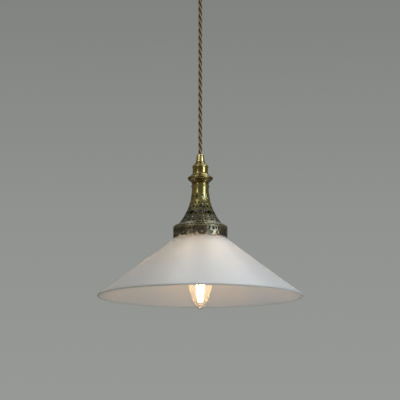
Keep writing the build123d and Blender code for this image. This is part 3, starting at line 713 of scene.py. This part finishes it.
def knuckle():
    """The turned knuckle: a hollowed upper face, a rounded edge, a straight taper and a bead at its foot."""
    edge = knuckle_top - 4.3 * mm
    outline = softened(
        [
            (grip_hole, knuckle_top),
            (11.4 * mm, knuckle_top),
            (12.2 * mm, knuckle_top - 1.2 * mm),
            (knuckle_radius - 0.9 * mm, edge + 1.7 * mm),
            (knuckle_radius, edge + 0.8 * mm),
            (knuckle_radius, edge - 0.8 * mm),
            (knuckle_radius - 1.1 * mm, edge - 1.9 * mm),
            (10.7 * mm, gallery_top + 2.0 * mm),
            (10.0 * mm, gallery_top + 1.7 * mm),
            (10.8 * mm, gallery_top + 1.4 * mm),
            (10.8 * mm, gallery_top + 0.3 * mm),
            (10.0 * mm, gallery_top),
            (grip_hole, gallery_top),
        ],
        [0.1 * mm, 0.4 * mm, 1.0 * mm, 1.4 * mm, 1.0 * mm, 1.0 * mm, 1.4 * mm]
        + [0.5 * mm, 0.3 * mm, 0.4 * mm, 0.4 * mm, 0.3 * mm, 0.1 * mm],
    )
    turned("knuckle_ring", outline, "lamp", knuckle_brass, ["knuckle"])


# ---- Pierced gallery ----


def circle(x, y, r):
    """Distance outside a circle."""
    return np.hypot(x, y) - r


def slot(x, y, wide, tall):
    """Distance outside a slot with round ends."""
    return np.hypot(x, np.maximum(np.abs(y) - (tall - wide) / 2, 0)) - wide / 2


def lancet(x, y, wide, tall):
    """Negative inside a pointed oval, whose half width falls as 1 - (2 y / tall)^2."""
    return np.abs(x) - wide / 2 * (1 - (2 * y / tall) ** 2)


def repeat(a, units, start):
    """The angle from the middle of the nearest of the equal units round the axis."""
    unit = 2 * pi / units
    return (a - start + unit / 2) % unit - unit / 2


def horn_line(rows):
    """The horn's outside from its closed top to its lip in even steps, and their distances down the wall.

    The flare is an arc: at the depth d its radius is the neck's plus R - sqrt(R^2 - d^2), with R its curve.
    """
    horn_top = gallery_top - neck_length
    down = np.linspace(0, horn_depth, 60)
    flare = np.stack([neck_radius + horn_curve - np.sqrt(horn_curve**2 - down**2), horn_top - down], -1)
    bead = gallery_top - 2.6 * mm
    neck = softened(
        [
            (grip_hole, gallery_top),
            (neck_radius, gallery_top),
            (neck_radius - 0.1 * mm, bead + 0.9 * mm),
            (neck_radius + 0.9 * mm, bead + 0.6 * mm),
            (neck_radius + 0.9 * mm, bead - 0.6 * mm),
            (neck_radius, bead - 0.9 * mm),
            (neck_radius, horn_top + 0.1 * mm),
        ],
        (0, 0.5 * mm, 0.3 * mm, 0.5 * mm, 0.5 * mm, 0.3 * mm, 0),
        closed=False,
    )
    lip = softened(
        [
            tuple(flare[-1] + (0.2 * mm, -0.15 * mm)),
            (27.6 * mm, skirt_top + 3.6 * mm),
            (31.4 * mm, skirt_top + 1.7 * mm),
            (32.9 * mm, skirt_top + 0.9 * mm),
            (33.1 * mm, skirt_top),
        ],
        (0, 0.8 * mm, 1.2 * mm, 0.6 * mm, 0),
        closed=False,
    )
    return spread(np.concatenate([neck, flare, lip]), rows)


def gallery_horn():
    """The flared horn, pierced in ten repeats: lancets, dots, leaves round a large roundel, and lozenges."""
    line, way = horn_line(160)
    front = -pi / 2

    def drop(z):
        """Distance along the wall from a height below the top, given in millimetres down from the top."""
        return np.interp(gallery_top - z * mm, line[::-1, 1], way[::-1])

    def field(a, r, z):
        """Distance from the nearest hole's edge, positive in the metal."""
        wall = way[:, None]
        ten = r * repeat(a, horn_units, front)
        between = r * repeat(a, horn_units, front + pi / horn_units)
        twenty = r * repeat(a, 2 * horn_units, front + pi / horn_units / 2)
        shapes = [
            lancet(between + 0.8 * mm, wall - drop(16.5), 1.8 * mm, 7.0 * mm),
            circle(twenty, wall - drop(25.0), 0.85 * mm),
            lancet(ten, wall - drop(29.5), 2.4 * mm, 4.6 * mm),
            circle(between, wall - drop(31.0), 1.25 * mm),
            circle(ten, wall - drop(37.6), 3.0 * mm),
            lancet(between, wall - drop(37.5), 2.6 * mm, 6.4 * mm),
            circle(twenty, wall - drop(43.6), 1.15 * mm),
            lancet(ten, wall - drop(47.4), 4.6 * mm, 2.2 * mm),
            lancet(between, wall - drop(47.4), 3.4 * mm, 3.6 * mm),
        ]
        return np.minimum.reduce(shapes)

    def relief(a, r, z):
        """A raised rim, 0.28 exp(-(d / 0.55)^2) mm at the distance d, and faint ribs on the lower part."""
        distance = field(a, r, z)
        rim = 0.28 * mm * np.exp(-((distance / (0.55 * mm)) ** 2))
        low_part = 1 / (1 + np.exp(-(way[:, None] - drop(24)) / (1.5 * mm)))
        ribs = 0.12 * mm * np.cos(4 * horn_units * a) * low_part
        return rim + ribs

    pierced("pierced_horn", line, field, relief, 320, "lamp", horn_brass, ["gallery_horn"], wall_thickness)


def gallery_skirt():
    """The skirt: an upright pierced strip with a rolled top, whose lower edge is cut into rounded lobes."""
    height = skirt_top - skirt_bottom
    line, _ = spread(np.array([(skirt_radius, skirt_top), (skirt_radius, skirt_bottom)]), 64)
    pitch = 2 * pi * skirt_radius / skirt_lobes

    def field(a, r, z):
        """Distance from the lobed edge or the nearest hole, positive in the metal."""
        across = r * repeat(a, skirt_lobes, skirt_turn)
        up = z - skirt_bottom
        share = np.clip((np.abs(across) - lobe_flat) / (pitch / 2 - lobe_flat), 0, 1)
        edge = lobe_depth * share**1.1 + 0.12 * mm
        window = np.minimum(
            slot(across - 0.2 * pitch, up - height + 4.4 * mm, 1.7 * mm, 3.4 * mm),
            slot(across + 0.2 * pitch, up - height + 4.4 * mm, 1.7 * mm, 3.4 * mm),
        )
        between = r * repeat(a, skirt_lobes, skirt_turn + pi / skirt_lobes)
        post = slot(between, up - height + 3.9 * mm, 1.2 * mm, 2.2 * mm)
        eyelet = circle(across, (up - height + 9.1 * mm) * 1.25, 1.7 * mm)
        return np.minimum.reduce([up - edge, window, post, eyelet])

    def relief(a, r, z):
        """The sheet lies 0.2 mm in from its rims, which stand out as exp(-(d / 0.5 mm)^2)."""
        distance = field(a, r, z)
        return -0.2 * mm + 0.2 * mm * np.exp(-((distance / (0.5 * mm)) ** 2))

    columns, nodes = skirt_lobes * 32, ["gallery_skirt"]
    pierced("lobed_skirt", line, field, relief, columns, "lamp", skirt_brass, nodes, wall_thickness)


def gallery_bead():
    """The rolled wire between horn and skirt: a circle turned round the axis."""
    centre, wire = (skirt_radius + 0.1 * mm, skirt_top - 0.55 * mm), 0.75 * mm
    t = np.linspace(0, 2 * pi, 16, endpoint=False)
    line = np.stack([centre[0] + wire * np.cos(t), centre[1] + wire * np.sin(t)], -1)
    turned("rolled_bead", line, "lamp", bead_brass, ["gallery_bead_ring"], turns=240)


# ---- Shade and lampholder ----


def shade():
    """The opal shade: a wide cone with a slight outward bow, a flat land round its hole and a rounded rim.

    The outside falls as the cone's slope less 0.6 mm times sin(pi t), with t from the land to the rim, and
    the inside is the same line moved in by the glass's thickness.
    """
    top, rise = glass_top, tan(shade_slope)
    rim_z = top - (shade_rim_radius - shade_land) * rise
    t = np.linspace(0, 1, 70)
    bow = 0.6 * mm * np.sin(pi * t)
    normal = np.array([sin(shade_slope), cos(shade_slope)])
    cone = np.stack([shade_land + t * (shade_rim_radius - shade_land), top + t * (rim_z - top)], -1)
    cone = cone - bow[:, None] * normal
    inner = cone - glass * normal
    inner[0] = (shade_land - glass * tan(shade_slope / 2), top - glass)
    turn = np.linspace(0, pi, 10)[1:-1]
    middle = (cone[-1] + inner[-1]) / 2
    along = np.array([cos(shade_slope), -sin(shade_slope)])
    rim = middle + glass / 2 * (np.cos(turn)[:, None] * normal + np.sin(turn)[:, None] * along)
    hole = [(shade_hole, top - glass), (shade_hole, top)]
    line = np.concatenate([cone, rim, inner[::-1], hole])
    turned("opal_shade", line, "shade", shade_finish, ["shade_glass"], turns=256)


def shade_ring():
    """The ring that holds the glass: a flange whose edge waves 24 times for grip, and a plain hub."""
    inner = sleeve_radius + 0.12 * mm
    line = softened(
        [
            (inner, ring_top),
            (ring_radius, ring_top),
            (ring_radius, ring_top - 3.0 * mm),
            (16.4 * mm, ring_top - 3.0 * mm),
            (16.4 * mm, ring_bottom),
            (inner, ring_bottom),
        ],
        (0.2 * mm, 0.6 * mm, 0.6 * mm, 0.3 * mm, 0.5 * mm, 0.2 * mm),
    )
    turned(
        "grip_ring",
        line,
        "ring",
        hidden_brass,
        ["shade_ring"],
        turns=240,
        ripple=lambda a, r, z: -0.35 * mm * (1 - np.abs(np.cos(12 * a))) ** 2 * (r > 18 * mm),
    )


# ---- Candle bulb ----


def bulb_profile(inset, rows=70):
    """The candle's outline from neck to tip: parabolas that run into each other at the sides' middles.

    It is moved in by inset along its normals.
    """
    sides = [(0, 0), (4.6, 0.1), (7.6, 7.0), (10.9, 13.5), (13.2, 22.5)]
    sides += [(16.6, 36.0), (18.3, 50.0), (16.0, 61.0), (8.6, 68.0), (7.8, 75.7)]
    line, _ = spread(softened(np.array(sides) * mm, 1.0, closed=False), rows)
    way = np.gradient(line, axis=0)
    way = way / np.linalg.norm(way, axis=1, keepdims=True)
    line = line + inset * np.stack([-way[:, 1], way[:, 0]], -1)
    line[0, 0] = 0
    return (line + (0, bulb_tip))[::-1]


def bulb():
    """The candle bulb: a thin clear envelope, a threaded cap and its solder tip."""
    wall = 0.7 * mm
    envelope = np.concatenate([bulb_profile(0.0), bulb_profile(wall)[::-1]])
    turned("bulb_envelope", envelope, "bulb", bulb_finish, ["bulb_glass"], turns=96)
    cap = softened(
        [
            (8.3 * mm, cap_low),
            (8.4 * mm, cap_low + 0.6 * mm),
            (6.9 * mm, cap_low + 4.6 * mm),
            (6.9 * mm, cap_high - 1.8 * mm),
            (5.0 * mm, cap_high),
            (4.6 * mm, cap_high),
            (6.4 * mm, cap_high - 2.2 * mm),
            (6.4 * mm, cap_low + 5.0 * mm),
            (7.9 * mm, cap_low),
        ],
        0.4 * mm,
    )
    cap, _ = spread(np.concatenate([cap, cap[:1]]), 150)

    def thread(a, r, z):
        """A round thread between the collar and the shoulder: a wave that climbs a pitch in each turn."""
        inside = (z > cap_low + 6 * mm) & (z < cap_high - 2 * mm)
        return inside * 0.22 * mm * np.cos(a - 2 * pi * z / cap_pitch)

    turned("threaded_cap", cap[:-1], "bulb", nickel, ["bulb_cap"], turns=72, ripple=thread)
    corners = [(0, 0), (1.5, 0), (2.2, -0.7), (2.2, -1.4), (0, -1.4)]
    line = softened(corners, (0, 0.5, 0.4, 0.1, 0), closed=False) * mm
    line[:, 1] += high("bulb_contact")
    turned("solder_tip", line, "bulb_base", nickel, ["bulb_contact"], turns=32, closed=False)


def rod(start, end, r, sides=12, rows=9):
    """A round-ended rod between two points: rings of radius r sqrt(1 - (distance past the end / r)^2)."""
    start, end = np.array(start, float), np.array(end, float)
    way = (end - start) / np.linalg.norm(end - start)
    side = np.cross(way, (0.3, 0.9, 0.1))
    side = side / np.linalg.norm(side)
    other = np.cross(way, side)
    t = np.radians(np.linspace(-90, 90, rows))
    ring = np.concatenate([r * np.cos(t[: rows // 2 + 1]), r * np.cos(t[rows // 2 :])])[:, None, None]
    shift = np.concatenate([r * np.sin(t[: rows // 2 + 1]), r * np.sin(t[rows // 2 :])])
    base = np.repeat([start, end], [rows // 2 + 1, rows - rows // 2], 0)
    a = np.linspace(0, 2 * pi, sides, endpoint=False)[None, :, None]
    return (base + shift[:, None] * way)[:, None] + ring * (np.cos(a) * side + np.sin(a) * other)


def joined(parts):
    """Several grids of points as one list of points, faces and places."""
    points, faces, places, first = [], [], [], 0
    for part in parts:
        rows, columns = part.shape[:2]
        here, place = grid_faces(rows, columns, False)
        points.append(part.reshape(-1, 3))
        faces.append(here + first)
        places.append(place)
        first += rows * columns
    return np.concatenate(points), np.concatenate(faces), np.concatenate(places)


def filaments():
    """Four sticks that lean in towards the tip, each a round-ended rod."""
    top, end = high("filaments") - 1.0 * mm, low("filaments") + 1.0 * mm
    rods = []
    for n in range(stick_count):
        a = 2 * pi * n / stick_count
        foot = (stick_foot * cos(a), stick_foot * sin(a), top)
        head = (stick_head * cos(a), stick_head * sin(a), end)
        rods.append(rod(foot, head, stick_radius))
    points, faces, places = joined(rods)
    add_piece("glowing_sticks", points, faces, "bulb", stick_finish, ["filaments"], places, join=1e-6)


# ---- Twisted flex ----


def flex():
    """Three woven strands laid round each other on a line read from the route's spline.

    Strand k's centre is the line plus c (N cos p + B sin p), where p = 2 pi k / 3 - 2 pi s / pitch, s is the
    way down the line and N, B are square to it. Its surface is a circle of its radius round that centre.
    """
    route = bpy.data.curves.new("flex_route", "CURVE")
    route.dimensions = "3D"
    spline = route.splines.new("NURBS")
    middle = (rose_mouth + lamp_mouth) / 2
    heights = [rose_mouth + 2.5 * mm, rose_mouth - 31 * mm, middle, lamp_mouth + 31 * mm, flex_end]
    spline.points.add(len(heights) - 1)
    spline.points.foreach_set("co", np.array([(0, 0, z, 1) for z in heights], float).reshape(-1))
    spline.order_u = 3
    spline.use_endpoint_u = True
    spline.resolution_u = 24
    carrier = bpy.data.objects.new("flex_route", route)
    mesh = bpy.data.meshes.new_from_object(carrier)
    line = np.array([v.co for v in mesh.vertices], float)
    bpy.data.objects.remove(carrier)
    path, way = spread(line, 340)
    along = np.gradient(path, axis=0)
    along = along / np.linalg.norm(along, axis=1, keepdims=True)
    side = np.cross(along, (0, 1, 0))
    side = side / np.linalg.norm(side, axis=1, keepdims=True)
    other = np.cross(along, side)
    lay = strand * 2 / sqrt(3)
    v = np.linspace(0, 2 * pi, 18, endpoint=False)[None, :, None]
    strands = []
    for k in range(3):
        p = (2 * pi * k / 3 - 2 * pi * way / flex_pitch)[:, None, None]
        frame_n, frame_b = side[:, None], other[:, None]
        centre = path[:, None] + lay * (np.cos(p) * frame_n + np.sin(p) * frame_b)
        strands.append(centre + strand * (np.cos(v + p) * frame_n + np.sin(v + p) * frame_b))
    points, faces, places = joined(strands)
    piece = add_piece("twisted_flex", points, faces, None, cloth_finish, ["flex_bend", "flex"], places)
    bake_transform(piece)


# ---- Carried-over hardware ----


def finish_hardware():
    """Gives the CAD nodes that keep their shape their finishes."""
    finishes = {
        "ceiling_bracket": steel,
        "rose_nut": steel,
        "stem_coupler": steel,
        "stem": steel,
        "stem_nut": steel,
        "earth_screw": nickel,
        "terminal_barrels": nickel,
        "terminal_screws": nickel,
        "holder_shell": nickel,
        "holder_contact": nickel,
        "holder_terminals": nickel,
        "filament_leads": nickel,
        "terminal_block": nylon,
        "rose_grip_collet": nylon,
        "grip_collet": nylon,
        "upper_washer": silicone,
        "lower_washer": silicone,
        "upper_ring": hidden_brass,
        "holder_cap": hidden_brass,
        "holder_sleeve": hidden_brass,
        "holder_insert": ceramic,
        "bulb_insulator": ceramic,
        "bulb_mount": bulb_finish,
        "rose_cores": core_sleeve,
        "holder_cores": core_sleeve,
        "flex_top": cloth_finish,
    }
    for node, finish in finishes.items():
        mesh = frame["nodes"][node].data
        mesh.materials.clear()
        mesh.materials.append(finish)


# ---- Room ----


def floor():
    """A plain pale floor well below the lamp."""
    sides = [(-1, -1), (1, -1), (1, 1), (-1, 1)]
    points = [(floor_reach * x, floor_reach * y, floor_height) for x, y in sides]
    finish = Finish("pale_floor")
    clouds = finish.noise(1.5, 2.0)
    paint = finish.close(
        Base_Color=finish.mix(clouds, (0.55, 0.56, 0.55), (0.52, 0.53, 0.52)),
        Roughness=0.7 + clouds * 0.1,
    )
    piece = add_piece("floor", points, [(0, 1, 2, 3)], None, paint, outward=False)


def area_light(name, azimuth, distance, height, width, tall, power, tint):
    """A soft box at an azimuth in degrees to the right of the front, turned to face the lamp."""
    data = bpy.data.lights.new(name, "AREA")
    data.shape = "RECTANGLE"
    data.size = width
    data.size_y = tall
    data.energy = power
    data.color = tint
    light = bpy.data.objects.new(name, data)
    a = radians(azimuth - 90)
    light.location = (distance * cos(a), distance * sin(a), height)
    away = light.location - Vector((0, 0, lamp_middle))
    light.rotation_euler = away.to_track_quat("Z", "Y").to_euler()
    bpy.context.collection.objects.link(light)


def lights():
    """A broad soft light at the right, a narrow one at the left and a wide one above and behind."""
    area_light("right_window", 57, 1.6, -0.05, 0.58, 1.1, 8.8, (0.78, 0.90, 1.0))
    area_light("left_window", -42, 1.7, 0.64, 0.22, 1.1, 3.0, (1.0, 0.93, 0.82))
    area_light("overhead", 160, 0.7, 1.3, 1.4, 1.4, 15.0, (0.93, 0.97, 1.0))


def world():
    """A plain grey room, a little darker upwards, with a dimmer light of its own on the lamp."""
    room = bpy.data.worlds.new("room")
    bpy.context.scene.world = room
    room.use_nodes = True
    tree = Tree(room.node_tree, "Generated")
    height = tree.height(tree.place)
    low_wall, high_wall, ceiling = (0.305, 0.318, 0.300), (0.285, 0.296, 0.280), (0.220, 0.229, 0.218)
    wall = tree.ramp(height, (0.055, low_wall), (0.14, high_wall), (0.255, ceiling))
    glow = tree.ramp(height, (0.1, (0.115, 0.098, 0.068)), (0.9, 0.24))
    seen = tree.node("ShaderNodeBackground", {}, {"Color": wall})
    felt = tree.node("ShaderNodeBackground", {}, {"Color": glow})
    direct = tree.node("ShaderNodeLightPath", {}, {}, "Is Camera Ray")
    both = tree.node("ShaderNodeMixShader", {}, {0: direct, 1: felt, 2: seen})
    tree.node("ShaderNodeOutputWorld", {}, {"Surface": both})
    bpy.context.scene.view_settings.view_transform = "Standard"


def camera():
    """A long lens a little below the shade's rim, tilted up so that the lamp hangs low in the view."""
    rim_z = glass_top - (shade_rim_radius - shade_land) * tan(shade_slope)
    distance, below, tilt = 2.48, radians(6.42), radians(9.14)
    data = bpy.data.cameras.new("camera")
    data.lens = 180
    data.sensor_width = 36
    eye = bpy.data.objects.new("camera", data)
    eye.location = (-0.0004, -distance * cos(below), rim_z - distance * sin(below))
    eye.rotation_euler = (pi / 2 + tilt, 0, 0)
    bpy.context.collection.objects.link(eye)
    bpy.context.scene.camera = eye


camera()
flex()
rose_cup()
cup_screws()
grip("rose", cup_bottom, -1, "rose", ("rose_grip_base", "rose_grip_cone"))
grip("lamp", cap_top, 1, "lamp", ("grip_base", "grip_cone"))
top_cap()
knuckle()
gallery_horn()
gallery_skirt()
gallery_bead()
shade()
shade_ring()
bulb()
filaments()
finish_hardware()
floor()
lights()
world()
